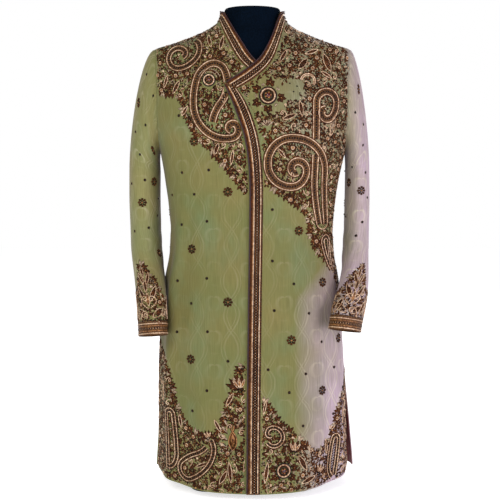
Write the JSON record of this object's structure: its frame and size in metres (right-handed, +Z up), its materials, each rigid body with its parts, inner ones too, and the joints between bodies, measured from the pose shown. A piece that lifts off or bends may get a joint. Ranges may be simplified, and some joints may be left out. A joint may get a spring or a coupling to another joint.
{
  "type": "sherwani coat on a dress form",
  "caption": "Knee-length embroidered coat with a crossed stand collar, side slits and long sleeves, worn by a limbless dress form on a short pole and flat base.",
  "frame": {"origin": "centre of the base plate's underside, on the floor", "axes": "+Z up, -Y out of the coat's front, +X towards the wearer's left side"},
  "size_m": [0.5603, 0.3159, 1.0985],
  "materials": {
    "brocade": "olive self-patterned silk brocade, soft sheen",
    "embroidered_border": "brown and gold corded and beaded border",
    "lining": "maroon satin lining",
    "form_cover": "matt navy cover of the dress form",
    "stand_steel": "dark painted steel"
  },
  "bodies": {
    "root": {"left_front": "brocade", "right_front": "brocade", "back": "brocade", "left_sleeve": "brocade", "right_sleeve": "brocade", "collar": "embroidered_border", "front_border": "embroidered_border", "left_cuff": "embroidered_border", "right_cuff": "embroidered_border", "back_lining": "lining", "dress_form": "form_cover", "stand_pole": "stand_steel", "base_plate": "stand_steel"}
  },
  "joints": []
}
